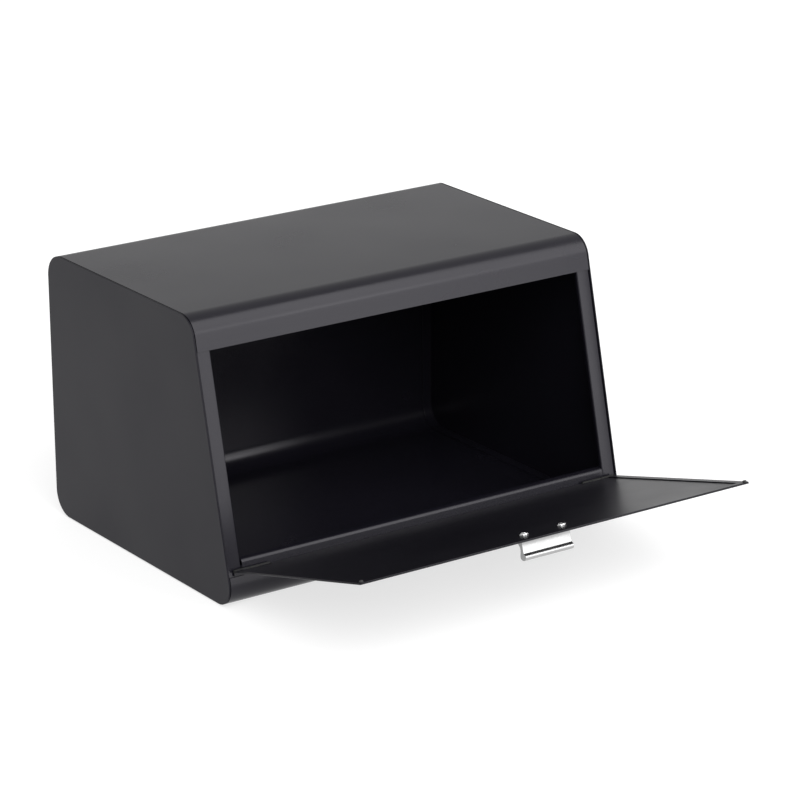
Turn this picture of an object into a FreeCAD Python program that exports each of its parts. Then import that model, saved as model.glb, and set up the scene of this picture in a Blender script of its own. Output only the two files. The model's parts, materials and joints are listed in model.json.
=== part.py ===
"""Sheet steel bread bin with a slanted front and a fall-front flap, shown open.

Millimetres, +Z up, +Y to the back. The pieces are drawn about the middle of the body, and then
moved along Y, so that the origin lies on the standing surface under the middle of the whole
object with its flap open.
The front leans back, and its geometry is given by two slope coordinates: `s` runs up the front
face from its sharp bottom corner, and `w` stands out of the face towards the user.
"""

import FreeCAD, Part
import math
import os

from FreeCAD import Vector

# ---- body, overall ----
WIDTH = 340.0            # over the side panels
DEPTH = 245.0            # foot of the front to the back
HEIGHT = 201.0           # shell, without its feet
FRONT_LEAN = 12.83       # degrees that the front leans back from upright

# ---- body, details ----
SHELL_T = 0.8            # wrapper sheet
SIDE_T = 1.0             # side panel sheet
STILE_T = 0.8            # front stile sheet
R_TOP_BACK = 18.0
R_TOP_FRONT = 17.0
R_BOTTOM_FRONT = 15.0
R_BOTTOM_BACK = 18.0
APRON_DROP = 24.4        # down the front from its sharp top corner
SHADOW_GAP = 0.6         # open groove between the wrapper's edge and a side panel
SIDE_EDGE_R = 0.4        # rounding of a side panel's outer edge
RIM_DEPTH = 8.0          # side panel's inner rim, where the wrapper is welded to it
RIM_GAP = 0.05           # wrapper to rim
BEND_CLEAR = 0.3         # hidden parts behind the front end this far from its bends

# ---- sill, the rolled top of the lower front strip ----
SILL_RISE = 34.6         # up the front, to the sharp top corner
SILL_DEPTH = 6.6
SILL_LIP = 7.0           # down behind the sill
SILL_FRONT_R = 3.0
SILL_BACK_R = 1.3
SHOULDER_DROP = 11.2     # sill's top to the strip's step in front of the stiles
SILL_END_GAP = 0.5       # sill's end to a stile

# ---- stiles ----
STILE_WIDTH = 12.3       # outside of the side panel to the opening
STILE_RECESS = 0.2       # stile's face behind the wrapper's inner face
STILE_RETURN = 3.0       # depth of the inner return
STILE_LEG = 8.0          # depth of the leg on the side panel
STILE_RIM_GAP = 0.5      # stile's hidden ends to the side panel's rim
STILE_BEND_R = 1.1

# ---- flap ----
FLAP_T = 0.7
FLAP_SIDE_REVEAL = 5.0   # flap's side edge to the outside of the side panel
FLAP_OVERLAP = 6.75      # on the apron, flap closed
FLAP_OPEN_ANGLE = 88.0   # degrees from closed to its stop
HEM_WIDTH = 6.3
HEM_EDGE_R = 0.6
HEEL_FLANGE = 3.8        # stiffening flange that meets the front at the stop
STOP_GAP = 0.15          # heel flange to the front face, flap open
FLAP_CORNER_R = 1.5

# ---- hinge ----
HINGE_DROP = 6.9         # sill's top to the axis
PIN_R = 0.75
PIN_FIT = 0.05           # radial clearance in barrels and eyes
BARREL_WALL = 0.5
EYE_WIDTH = 8.0
BARREL_OUTER = 11.7      # length of the flap's outer barrel
BARREL_INNER = 7.7
HINGE_SIDE_GAP = 0.3     # between eye and barrels
NOTCH_CLEAR = 0.6        # flap notch round the eye
PIN_HEAD_RIM = 0.6       # pin head's radius over the pin's
PIN_HEAD_T = 0.6
PIN_END = 0.4            # pin past its clip
CLIP_T = 0.5
BRACKET_T = 1.0
SLOT_CLEAR = 0.3

# ---- bumpers on the flap ----
BUMPER_R = 1.5
BUMPER_T = 1.2
BUMPER_INSET = 2.6       # from both edges of the flap
CLOSE_GAP = 0.1          # bumper to apron, flap closed

# ---- pull handle and its screws ----
HANDLE_END = 4.5         # screw's axis to the handle's end
HANDLE_SETBACK = 21.5    # free edge to the grip's middle
HANDLE_REACH = 16.5      # out of the flap
HANDLE_BASE_T = 1.5      # straight edge of the base, before it runs into the grip
HANDLE_ROOT_MARGIN = 2.5 # base past the screw's side, both ways
HANDLE_WAIST = 2.8
HANDLE_WAIST_AT = 0.5    # of the reach
HANDLE_BEAD_HALF = 3.3   # bead's half width, along the flap
HANDLE_BEAD_R = 2.6      # bead's half height, out of the flap
HANDLE_BEAD_LEAN = 0.6   # bead's middle in front of the grip's middle
SCREW_SPACING = 32.0
SCREW_SETBACK = 23.0     # from the free edge
SCREW_R = 2.0
SCREW_HOLE_CLEAR = 0.15
SCREW_THREAD_CLEAR = 0.05
SCREW_BITE = 3.5         # into the handle
SCREW_HEAD_R = 3.4
SCREW_HEAD_H = 1.5
SCREW_DOME_H = 0.9
RECESS_R = 1.8
RECESS_W = 0.8
RECESS_DEPTH = 1.0

# ---- feet ----
FOOT_R = 6.0
FOOT_T = 1.0
FOOT_SIDE_INSET = 24.0
FOOT_END_INSET = 30.0

# ---- derived ----
LEAN = math.radians(FRONT_LEAN)
LOW_CORNER = math.pi / 2 - LEAN                # inner angle where the front meets the bottom
HIGH_CORNER = math.pi / 2 + LEAN               # inner angle where the front meets the top
UP = (math.sin(LEAN), math.cos(LEAN))          # (y, z) of s
OUT = (-math.cos(LEAN), math.sin(LEAN))        # (y, z) of w
FRONT_FOOT = (-DEPTH / 2, FOOT_T)              # the front's sharp bottom corner
SLOPE = HEIGHT / math.cos(LEAN)
APRON_END = SLOPE - APRON_DROP
HALF = WIDTH / 2
SIDE_INNER = HALF - SIDE_T
WRAP_HALF = SIDE_INNER - SHADOW_GAP
STRAIGHT_LOW = R_BOTTOM_FRONT / math.tan(LOW_CORNER / 2) + BEND_CLEAR
STRAIGHT_HIGH = SLOPE - R_TOP_FRONT / math.tan(HIGH_CORNER / 2) - BEND_CLEAR
OPEN_HALF = HALF - STILE_WIDTH
SHOULDER_RISE = SILL_RISE - SHOULDER_DROP
HINGE_RISE = SILL_RISE - HINGE_DROP
SILL_HALF = OPEN_HALF - SILL_END_GAP
STILE_FACE = -SHELL_T - STILE_RECESS
FLAP_HALF = HALF - FLAP_SIDE_REVEAL
HINGE_OUT = BUMPER_T + FLAP_T + CLOSE_GAP      # axis in front of the face, in the flap's inner face
FLAP_TOP = APRON_END + FLAP_OVERLAP
BORE_R = PIN_R + PIN_FIT
BARREL_R = BORE_R + BARREL_WALL
BARREL_START = FLAP_HALF
EYE_START = BARREL_START - BARREL_OUTER - HINGE_SIDE_GAP
EYE_END = EYE_START - EYE_WIDTH
INNER_START = EYE_END - HINGE_SIDE_GAP
INNER_END = INNER_START - BARREL_INNER
HANDLE_LENGTH = SCREW_SPACING + 2 * HANDLE_END


# ---------------------------------------------------------------- helpers

def front(s, w):
    """(y, z) of a point given in slope coordinates."""
    return (FRONT_FOOT[0] + s * UP[0] + w * OUT[0], FRONT_FOOT[1] + s * UP[1] + w * OUT[1])


def at(x, yz):
    return Vector(x, yz[0], yz[1])


def unit(a, b):
    d = (b[0] - a[0], b[1] - a[1])
    n = math.hypot(*d)
    return (d[0] / n, d[1] / n)


def offset_line(points, t):
    """The polyline shifted to its left by t, with its corners kept sharp."""
    dirs = [unit(a, b) for a, b in zip(points, points[1:])]
    left = [(-d[1], d[0]) for d in dirs]
    out = [(points[0][0] + left[0][0] * t, points[0][1] + left[0][1] * t)]
    for i in range(1, len(points) - 1):
        a, b = left[i - 1], left[i]
        k = t / (1 + a[0] * b[0] + a[1] * b[1])
        out.append((points[i][0] + (a[0] + b[0]) * k, points[i][1] + (a[1] + b[1]) * k))
    out.append((points[-1][0] + left[-1][0] * t, points[-1][1] + left[-1][1] * t))
    return out


def rounded_edges(points, radii, x=0.0):
    """Straight runs joined by arcs: radii are those of the inner corners."""
    edges, start = [], points[0]
    for i, r in enumerate(radii, 1):
        a, b = unit(points[i], points[i - 1]), unit(points[i], points[i + 1])
        half = math.acos(max(-1.0, min(1.0, a[0] * b[0] + a[1] * b[1]))) / 2
        leg = r / math.tan(half)
        p = (points[i][0] + a[0] * leg, points[i][1] + a[1] * leg)
        q = (points[i][0] + b[0] * leg, points[i][1] + b[1] * leg)
        m = unit((0, 0), (a[0] + b[0], a[1] + b[1]))
        near = r / math.sin(half) - r
        mid = (points[i][0] + m[0] * near, points[i][1] + m[1] * near)
        edges.append(Part.makeLine(at(x, start), at(x, p)))
        edges.append(Part.Arc(at(x, p), at(x, mid), at(x, q)).toShape())
        start = q
    edges.append(Part.makeLine(at(x, start), at(x, points[-1])))
    return edges


def sheet(points, radii, t, x0, x1):
    """A bent sheet: its outer line, thickened to the left and drawn out from x0 to x1."""
    inner = offset_line(points, t)
    outer_edges = rounded_edges(points, radii, x0)
    inner_edges = rounded_edges(inner, [r - t for r in radii], x0)
    ends = [Part.makeLine(at(x0, points[0]), at(x0, inner[0])),
            Part.makeLine(at(x0, points[-1]), at(x0, inner[-1]))]
    wire = Part.Wire(Part.__sortEdges__(outer_edges + inner_edges + ends))
    return Part.Face(wire).extrude(Vector(x1 - x0, 0, 0))


def plate(points, x0, x1):
    """A straight-sided prism with the (y, z) outline, from x0 to x1."""
    loop = [at(x0, p) for p in points] + [at(x0, points[0])]
    return Part.Face(Part.makePolygon(loop)).extrude(Vector(x1 - x0, 0, 0))


def slope_box(s0, s1, w0, w1, x0, x1):
    return plate([front(s0, w0), front(s1, w0), front(s1, w1), front(s0, w1)], x0, x1)


def rod(yz, r, x0, x1):
    """A round bar along X."""
    return Part.makeCylinder(r, x1 - x0, at(x0, yz), Vector(1, 0, 0))


def mirrored(shape):
    return shape.mirror(Vector(0, 0, 0), Vector(1, 0, 0))


def opened(shape):
    """A closed-flap shape, swung out about the hinge to its stop."""
    return shape.rotated(at(0, front(HINGE_RISE, HINGE_OUT)), Vector(1, 0, 0), FLAP_OPEN_ANGLE)


# ---------------------------------------------------------------- body

def outline_points(inset=0.0):
    """The four sharp corners of the side profile, from the bottom front round to the top front."""
    back = DEPTH / 2
    top = FOOT_T + HEIGHT
    sharp = [front(SLOPE, 0), front(0, 0), (back, FOOT_T), (back, top), front(SLOPE, 0), front(0, 0)]
    return offset_line(sharp, inset)[1:5]


OUTLINE_RADII = [R_BOTTOM_FRONT, R_BOTTOM_BACK, R_TOP_BACK, R_TOP_FRONT]


def wrapper():
    """Apron, top, back, bottom, lower front strip and rolled sill, bent from one sheet."""
    sill = front(SILL_RISE, 0)
    path = [(sill[0] + SILL_DEPTH, sill[1] - SILL_LIP), (sill[0] + SILL_DEPTH, sill[1]), sill]
    path += outline_points() + [front(APRON_END, 0)]
    radii = [SILL_BACK_R, SILL_FRONT_R] + OUTLINE_RADII
    shape = sheet(path, radii, SHELL_T, -WRAP_HALF, WRAP_HALF)
    for side in (-1, 1):
        x0, x1 = sorted((side * SILL_HALF, side * (WRAP_HALF + 1)))
        shape = shape.cut(slope_box(SHOULDER_RISE, SILL_RISE + 3, -SILL_DEPTH - 4, 1, x0, x1))
        x0, x1 = sorted((side * (EYE_START + SLOT_CLEAR), side * (EYE_END - SLOT_CLEAR)))
        reach = BRACKET_T / 2 + SLOT_CLEAR
        shape = shape.cut(slope_box(HINGE_RISE - reach, HINGE_RISE + reach, -2, 1, x0, x1))
    return shape


def side_panel():
    """Right-hand side: flat panel with a welded rim inside the wrapper."""
    corners = outline_points()
    mid_front = front(SLOPE / 2, 0)
    loop = [mid_front] + corners + [mid_front]
    face = Part.Face(Part.Wire(Part.__sortEdges__(rounded_edges(loop, OUTLINE_RADII, SIDE_INNER))))
    panel = face.extrude(Vector(SIDE_T, 0, 0))
    rim_edges = [e for e in panel.Edges if all(abs(v.X - HALF) < 1e-6 for v in e.Vertexes)]
    panel = panel.makeFillet(SIDE_EDGE_R, rim_edges)
    inset = SHELL_T + RIM_GAP
    path = [front(STRAIGHT_LOW, -inset)] + outline_points(inset) + [front(STRAIGHT_HIGH, -inset)]
    rim = sheet(path, [r - inset for r in OUTLINE_RADII], SHELL_T, SIDE_INNER - RIM_DEPTH, SIDE_INNER)
    return panel.fuse(rim).removeSplitter()


def stile():
    """Right-hand stile: a channel whose face frames the opening, with a return and a leg."""
    s0, s1 = STRAIGHT_LOW + STILE_RIM_GAP, STRAIGHT_HIGH - STILE_RIM_GAP
    section = [(OPEN_HALF, -STILE_RETURN), (OPEN_HALF, 0), (SIDE_INNER, 0), (SIDE_INNER, -STILE_LEG)]
    inner = [(OPEN_HALF + STILE_T, -STILE_RETURN), (OPEN_HALF + STILE_T, -STILE_T),
             (SIDE_INNER - STILE_T, -STILE_T), (SIDE_INNER - STILE_T, -STILE_LEG)]

    def place(p):
        return at(p[0], front(s0, STILE_FACE + p[1]))

    loop = [place(p) for p in section + inner[::-1]]
    face = Part.Face(Part.makePolygon(loop + [loop[0]]))
    shape = face.extrude(Vector(0, UP[0], UP[1]) * (s1 - s0))
    outer_y_z = front(s0, STILE_FACE)
    bends = [e for e in shape.Edges
             if e.Length > s1 - s0 - 1 and min(
                 e.Vertexes[0].Point.distanceToPoint(at(x, outer_y_z)) for x in (OPEN_HALF, SIDE_INNER)
             ) < 0.01]
    return shape.makeFillet(min(STILE_BEND_R, STILE_RETURN / 2), bends)


def foot(x, y):
    pad = Part.makeCylinder(FOOT_R, FOOT_T, Vector(x, y, 0))
    low = [e for e in pad.Edges if e.Closed and e.Vertexes[0].Z < 1e-6]
    return pad.makeFillet(FOOT_T * 0.35, low)


# ---------------------------------------------------------------- hinge

def hinge_bracket():
    """Right-hand bracket: an eye in front of the strip, on a neck through its slot to a leaf behind."""
    axis = front(HINGE_RISE, HINGE_OUT)
    x0, x1 = EYE_END, EYE_START
    half = BRACKET_T / 2
    neck = slope_box(HINGE_RISE - half, HINGE_RISE + half, -SHELL_T - BRACKET_T, HINGE_OUT, x0, x1)
    leaf = slope_box(STRAIGHT_LOW, HINGE_RISE + half, -SHELL_T - BRACKET_T, -SHELL_T, x0, x1)
    body = rod(axis, BARREL_R, x0, x1).fuse(neck).fuse(leaf)
    return body.cut(rod(axis, BORE_R, x0 - 1, x1 + 1)).removeSplitter()


def hinge_pin():
    """Right-hand pin, with a head on its outer end."""
    axis = front(HINGE_RISE, HINGE_OUT)
    shank = rod(axis, PIN_R, INNER_END - CLIP_T - PIN_END, BARREL_START)
    head = rod(axis, PIN_R + PIN_HEAD_RIM, BARREL_START, BARREL_START + PIN_HEAD_T)
    return shank.fuse(head).removeSplitter()


def pin_clip():
    """Right-hand push-on ring on the pin's inner end."""
    axis = front(HINGE_RISE, HINGE_OUT)
    ring = rod(axis, BARREL_R, INNER_END - CLIP_T, INNER_END)
    return ring.cut(rod(axis, PIN_R, INNER_END - CLIP_T - 1, INNER_END + 1))


# ---------------------------------------------------------------- flap, drawn closed

def flap():
    """Panel with hems on three edges, a heel flange, and barrels brazed in at both ends."""
    inner, outer = HINGE_OUT, HINGE_OUT + FLAP_T
    heel = HINGE_RISE - (HINGE_OUT - STOP_GAP)
    panel = slope_box(heel, FLAP_TOP, inner, outer, -FLAP_HALF, FLAP_HALF)
    flange = slope_box(heel, heel + FLAP_T, inner, inner + HEEL_FLANGE, -FLAP_HALF, FLAP_HALF)
    hem_start = HINGE_RISE + BARREL_R + NOTCH_CLEAR
    hem_face = inner - FLAP_T
    shape = panel.fuse(flange)
    for x0, x1 in ((-FLAP_HALF, HEM_WIDTH - FLAP_HALF), (FLAP_HALF - HEM_WIDTH, FLAP_HALF)):
        shape = shape.fuse(slope_box(hem_start, FLAP_TOP, hem_face, inner, x0, x1))
    shape = shape.fuse(slope_box(FLAP_TOP - HEM_WIDTH, FLAP_TOP, hem_face, inner, -FLAP_HALF, FLAP_HALF))
    shape = shape.removeSplitter()
    shape = round_flap_edges(shape, heel, hem_face, outer)
    axis = front(HINGE_RISE, HINGE_OUT)
    for side in (-1, 1):
        for a, b in ((BARREL_START, EYE_START + HINGE_SIDE_GAP), (INNER_START, INNER_END)):
            x0, x1 = sorted((side * a, side * b))
            shape = shape.fuse(rod(axis, BARREL_R, x0, x1))
        clear = BARREL_R + NOTCH_CLEAR
        clip_room = INNER_END - CLIP_T - PIN_END - HINGE_SIDE_GAP
        for a, b in ((EYE_START + HINGE_SIDE_GAP, INNER_START), (INNER_END, clip_room)):
            x0, x1 = sorted((side * a, side * b))
            notch = slope_box(heel - 1, HINGE_RISE + clear, inner - clear, inner + HEEL_FLANGE + 1, x0, x1)
            shape = shape.cut(notch)
        x0, x1 = sorted((side * (BARREL_START + 1), side * clip_room))
        shape = shape.cut(rod(axis, BORE_R, x0, x1))
        centre = at(side * SCREW_SPACING / 2, front(FLAP_TOP - SCREW_SETBACK, inner - 1))
        shape = shape.cut(Part.makeCylinder(SCREW_R + SCREW_HOLE_CLEAR, FLAP_T + 2, centre,
                                            Vector(0, OUT[0], OUT[1])))
    return shape.removeSplitter()


def round_flap_edges(shape, heel, hem_face, outer):
    """Rounds the two free corners, the folded edges and the heel's bend."""
    corners = []
    for e in shape.Edges:
        a, b = e.Vertexes[0].Point, e.Vertexes[-1].Point
        mid = (a + b) * 0.5
        top = abs(slope_of(mid) - FLAP_TOP) < 0.01
        if top and abs(abs(mid.x) - FLAP_HALF) < 0.01 and abs(a.x - b.x) < 0.01:
            corners.append(e)
    shape = shape.makeFillet(FLAP_CORNER_R, corners)
    folds = []
    for e in shape.Edges:
        m = e.valueAt((e.FirstParameter + e.LastParameter) / 2)
        w = out_of(m)
        on_side = abs(abs(m.x) - FLAP_HALF) < 0.01 and slope_of(m) > HINGE_RISE + BARREL_R + 2
        on_top = abs(slope_of(m) - FLAP_TOP) < 0.01
        on_round = e.Curve.TypeId == "Part::GeomCircle" and slope_of(m) > FLAP_TOP - FLAP_CORNER_R
        if (on_side or on_top or on_round) and (abs(w - outer) < 0.01 or abs(w - hem_face) < 0.01):
            folds.append(e)
    return shape.makeFillet(min(HEM_EDGE_R, FLAP_T * 0.9), folds)


def slope_of(p):
    return (p.y - FRONT_FOOT[0]) * UP[0] + (p.z - FRONT_FOOT[1]) * UP[1]


def out_of(p):
    return (p.y - FRONT_FOOT[0]) * OUT[0] + (p.z - FRONT_FOOT[1]) * OUT[1]


def bumper(side):
    """A small domed pad on the hem, near one free corner."""
    base = at(side * (FLAP_HALF - BUMPER_INSET), front(FLAP_TOP - BUMPER_INSET, HINGE_OUT - FLAP_T))
    pad = Part.makeCylinder(BUMPER_R, BUMPER_T, base, Vector(0, -OUT[0], -OUT[1]))
    top = out_of(base) - BUMPER_T
    rim = [e for e in pad.Edges if e.Closed and abs(out_of(e.Vertexes[0].Point) - top) < 0.01]
    return pad.makeFillet(BUMPER_T * 0.5, rim)


def handle():
    """Extruded edge pull: a base under the screws, a waisted grip, and a bead that leans forward."""
    base_w = HINGE_OUT + FLAP_T
    grip = FLAP_TOP - HANDLE_SETBACK
    screw_s = FLAP_TOP - SCREW_SETBACK
    margin = SCREW_R + HANDLE_ROOT_MARGIN
    hw = HANDLE_WAIST / 2
    bead_s = grip + HANDLE_BEAD_LEAN
    bead_w = base_w + HANDLE_REACH - HANDLE_BEAD_R
    back_reach = HANDLE_BEAD_HALF * 0.9
    crease_reach = HANDLE_BEAD_HALF * 0.4
    waist_w = base_w + HANDLE_REACH * HANDLE_WAIST_AT

    def p(s, w, x=-HANDLE_LENGTH / 2):
        return at(x, front(s, w))

    def smooth(stops):
        curve = Part.BSplineCurve()
        curve.interpolate(stops)
        return curve.toShape()

    low, high = screw_s - margin, screw_s + margin
    corner_back, corner_front = p(low, base_w + HANDLE_BASE_T), p(high, base_w + HANDLE_BASE_T)
    bead_back, bead_front = p(bead_s - back_reach, bead_w), p(bead_s + crease_reach, bead_w)
    flare_w = base_w + SCREW_BITE + 1
    edges = [
        Part.makeLine(p(low, base_w), p(high, base_w)),
        Part.makeLine(p(high, base_w), corner_front),
        smooth([corner_front, p(screw_s + SCREW_R + 1.1, flare_w), p(grip + hw, waist_w), bead_front]),
        Part.makeLine(bead_front, bead_back),
        smooth([bead_back, p(grip - hw, waist_w), p(screw_s - SCREW_R, flare_w), corner_back]),
        Part.makeLine(corner_back, p(low, base_w)),
    ]
    profile = Part.Face(Part.Wire(Part.__sortEdges__(edges)))
    body = profile.extrude(Vector(HANDLE_LENGTH, 0, 0))
    bead_ring = Part.Ellipse(Vector(0, 0, 0), HANDLE_BEAD_HALF, HANDLE_BEAD_R).toShape()
    bead = Part.Face(Part.Wire(bead_ring)).extrude(Vector(0, 0, HANDLE_LENGTH))
    out = Vector(0, OUT[0], OUT[1])
    turn = FreeCAD.Rotation(Vector(0, UP[0], UP[1]), out, Vector(1, 0, 0), "XYZ")
    bead.Placement = FreeCAD.Placement(p(bead_s, bead_w), turn)
    body = body.fuse(bead)
    for side in (-1, 1):
        centre = at(side * SCREW_SPACING / 2, front(screw_s, base_w - 1))
        body = body.cut(Part.makeCylinder(SCREW_R + SCREW_THREAD_CLEAR, SCREW_BITE + 1.3, centre, out))
    return body.removeSplitter()


def screw(side):
    """Cross-recess pan-head screw, put in from the flap's inner face."""
    inward = Vector(0, -OUT[0], -OUT[1])
    seat = at(side * SCREW_SPACING / 2, front(FLAP_TOP - SCREW_SETBACK, HINGE_OUT))
    shank = Part.makeCylinder(SCREW_R, FLAP_T + SCREW_BITE, seat, inward * -1)
    head = Part.makeCylinder(SCREW_HEAD_R, SCREW_HEAD_H, seat, inward)
    top = [e for e in head.Edges
           if e.Closed and abs(out_of(e.Vertexes[0].Point) - (HINGE_OUT - SCREW_HEAD_H)) < 0.01]
    head = head.makeFillet(SCREW_DOME_H, top)
    low = seat + inward * (SCREW_HEAD_H - RECESS_DEPTH)
    turn = FreeCAD.Rotation(Vector(0, 0, 1), inward)
    for along, across in ((RECESS_R, RECESS_W / 2), (RECESS_W / 2, RECESS_R)):
        slot = Part.makeBox(2 * along, 2 * across, RECESS_DEPTH + 1, Vector(-along, -across, 0))
        slot.Placement = FreeCAD.Placement(low, turn).multiply(slot.Placement)
        head = head.cut(slot)
    return shank.fuse(head).removeSplitter()


# ---------------------------------------------------------------- write the nodes

def build():
    nodes = {"wrapper_shell": wrapper()}
    pairs = {
        "side_panel": side_panel(),
        "front_stile": stile(),
        "hinge_bracket": hinge_bracket(),
        "hinge_pin": opened(hinge_pin()),
        "pin_clip": opened(pin_clip()),
    }
    for name, right in pairs.items():
        nodes[name + "_right"] = right
        nodes[name + "_left"] = mirrored(right)
    nodes["flap_panel"] = opened(flap())
    nodes["pull_handle"] = opened(handle())
    for name, side in (("left", -1), ("right", 1)):
        nodes["handle_screw_" + name] = opened(screw(side))
        nodes["flap_bumper_" + name] = opened(bumper(side))
    x = HALF - FOOT_SIDE_INSET
    y = DEPTH / 2 - FOOT_END_INSET
    for name, sx, sy in (("front_left", -1, -1), ("front_right", 1, -1),
                         ("back_left", -1, 1), ("back_right", 1, 1)):
        nodes["foot_" + name] = foot(sx * x, sy * y)
    return nodes


def centred(nodes):
    """The nodes moved along Y, with the middle of the whole object's depth at zero."""
    boxes = [shape.optimalBoundingBox(False, False) for shape in nodes.values()]
    middle = (min(b.YMin for b in boxes) + max(b.YMax for b in boxes)) / 2
    print(f"moved {-middle:.4f} mm along Y")
    return {name: shape.translated(Vector(0, -middle, 0)) for name, shape in nodes.items()}


def main():
    os.makedirs("parts", exist_ok=True)
    for name, shape in centred(build()).items():
        solids = shape.Solids
        volume = sum(s.Volume for s in solids)
        print(f"{name:22s} solids {len(solids)} valid {shape.isValid()} volume {volume:10.2f} mm3")
        shape.exportStep(os.path.join("parts", name + ".step"))


main()
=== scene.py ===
# %% [markdown]
# # A sheet steel bread bin with a fall-front flap
#
# The bin is a folded steel box with a slanted front. One long sheet wraps round the top, back and
# bottom, two flat panels close the ends, and a hinged flap falls open to make a small shelf. The
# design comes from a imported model, which stays fixed. This lesson puts the visible metal round it:
# bent sheet with real thickness and hems, powder coat, an aluminium pull, and bright screws.

# %% Load the fixed frame
import json
import math

import bmesh
import bpy
from mathutils import Matrix, Vector


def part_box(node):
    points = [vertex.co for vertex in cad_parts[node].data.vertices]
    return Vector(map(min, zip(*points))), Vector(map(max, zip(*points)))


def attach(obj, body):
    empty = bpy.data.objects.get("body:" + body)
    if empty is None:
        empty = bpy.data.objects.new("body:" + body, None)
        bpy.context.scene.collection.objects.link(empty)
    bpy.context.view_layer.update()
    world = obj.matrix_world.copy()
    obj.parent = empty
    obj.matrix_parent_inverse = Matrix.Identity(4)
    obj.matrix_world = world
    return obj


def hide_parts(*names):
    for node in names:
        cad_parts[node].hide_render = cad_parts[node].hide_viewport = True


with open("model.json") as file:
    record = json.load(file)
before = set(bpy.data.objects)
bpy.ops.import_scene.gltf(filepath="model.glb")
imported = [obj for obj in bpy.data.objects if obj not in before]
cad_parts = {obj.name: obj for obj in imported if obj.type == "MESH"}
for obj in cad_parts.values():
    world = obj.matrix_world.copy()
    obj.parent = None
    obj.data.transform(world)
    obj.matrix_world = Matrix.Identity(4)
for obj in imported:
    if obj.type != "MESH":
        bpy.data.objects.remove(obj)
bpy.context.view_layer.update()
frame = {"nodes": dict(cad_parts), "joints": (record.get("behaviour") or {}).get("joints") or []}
print("nodes:", len(frame["nodes"]))

# %% Putting things in the scene
def linked(name, data):
    """A new object that holds the data, in the scene."""
    obj = bpy.data.objects.new(name, data)
    bpy.context.scene.collection.objects.link(obj)
    return obj


# %% [markdown]
# ## Sizes
#
# Every length is written in millimetres and turned into metres by one factor. The front leans back,
# so most sizes on it are easier to give along the slope: `s` runs up the front from its sharp
# bottom corner, and `w` stands out of it towards the user. One function turns that pair into the
# world's y and z.

# %% Sizes of the sheet metal
MM = 0.001

shell_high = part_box("wrapper_shell")[1]
panel_low, panel_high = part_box("side_panel_right")

HALF_WIDTH = panel_high[0]
BODY_DEPTH = 245 * MM
BACK = panel_high[1]
BOTTOM = panel_low[2]
HEIGHT = panel_high[2] - panel_low[2]
SHELL_HALF = shell_high[0]

FRONT_LEAN = math.radians(12.83)
SHEET = 0.8 * MM
SIDE_SHEET = 1.0 * MM
FLAP_SHEET = 0.7 * MM

FRONT_FOOT = (BACK - BODY_DEPTH, BOTTOM)
SLOPE = HEIGHT / math.cos(FRONT_LEAN)
print(f"body {2000 * HALF_WIDTH:.1f} mm wide, {1000 * HEIGHT:.1f} mm high, slope {1000 * SLOPE:.1f} mm")

# %% Slope coordinates
UP = (math.sin(FRONT_LEAN), math.cos(FRONT_LEAN))
OUT = (-math.cos(FRONT_LEAN), math.sin(FRONT_LEAN))


def front(s, w=0.0):
    """(y, z) of a point that lies s up the front and w out of it."""
    return (FRONT_FOOT[0] + s * UP[0] + w * OUT[0], FRONT_FOOT[1] + s * UP[1] + w * OUT[1])


print("top of the slope:", tuple(round(v, 4) for v in front(SLOPE)))

# %% [markdown]
# ## The hinge line
#
# The flap's own parts are easiest to draw with the flap shut, flat on the front. They are then
# turned about the hinge by the angle to its stop, which is how the rest pose has it.

# %% The turn that opens the flap
hinge = frame["joints"][0]
HINGE_AT = Vector(hinge["pos_m"])
OPEN_ANGLE = math.radians(hinge["range_deg"][1] - hinge["range_deg"][0])
OPENING = (Matrix.Translation(HINGE_AT)
           @ Matrix.Rotation(OPEN_ANGLE, 4, "X")
           @ Matrix.Translation(-HINGE_AT))

HINGE_RISE = 27.7 * MM
HINGE_OUT = 2.0 * MM
print("hinge at", [round(v, 5) for v in HINGE_AT])
print("by slope", [round(v, 5) for v in front(HINGE_RISE, HINGE_OUT)])

# %% [markdown]
# ## Camera
#
# A long lens from the left, a little above: the object fills the frame without strong perspective.
# The camera's axes are worked out from its heading, its dip and a touch of roll, and written
# straight into its matrix.

# %% Camera
CAMERA_AT = Vector((-1.3803, -2.0138, 0.9421))
HEADING = math.radians(34.50)
DIP = math.radians(18.845)
ROLL = math.radians(-0.44)

ahead = Vector((math.sin(HEADING) * math.cos(DIP), math.cos(HEADING) * math.cos(DIP), -math.sin(DIP)))
level = ahead.cross(Vector((0, 0, 1))).normalized()
above = level.cross(ahead)
cam_right = math.cos(ROLL) * level + math.sin(ROLL) * above
cam_up = math.cos(ROLL) * above - math.sin(ROLL) * level

lens = bpy.data.cameras.new("studio_camera")
lens.sensor_width = 36.0
lens.lens = 162.0
lens.clip_end = 50.0
camera = linked("studio_camera", lens)
axes = Matrix((cam_right, cam_up, -ahead)).transposed().to_4x4()
camera.matrix_world = Matrix.Translation(CAMERA_AT) @ axes
bpy.context.scene.camera = camera
print("camera", round(camera.data.lens), "mm lens")

# %% [markdown]
# ## Studio
#
# A plain white floor in a white room. A dark, satin paint shows hardly any colour of its own: what
# the eye sees is mostly the room's reflection, so the room has to be bright. The world is that
# room. A wide sun from the front left reaches into the box and throws the soft shadow back under
# the flap. Two softboxes on the right do the rest: one in front that the apron mirrors, and one
# above it that the top bend mirrors.

# %% Studio light and floor
TARGET = Vector((0, 0, 0.15))


def placed(light, spot):
    """Stands a light at the spot, turned toward the middle of the box."""
    obj = linked(light.name, light)
    obj.location = spot
    obj.rotation_euler = (TARGET - Vector(spot)).to_track_quat("-Z", "Y").to_euler()
    return obj


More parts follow.
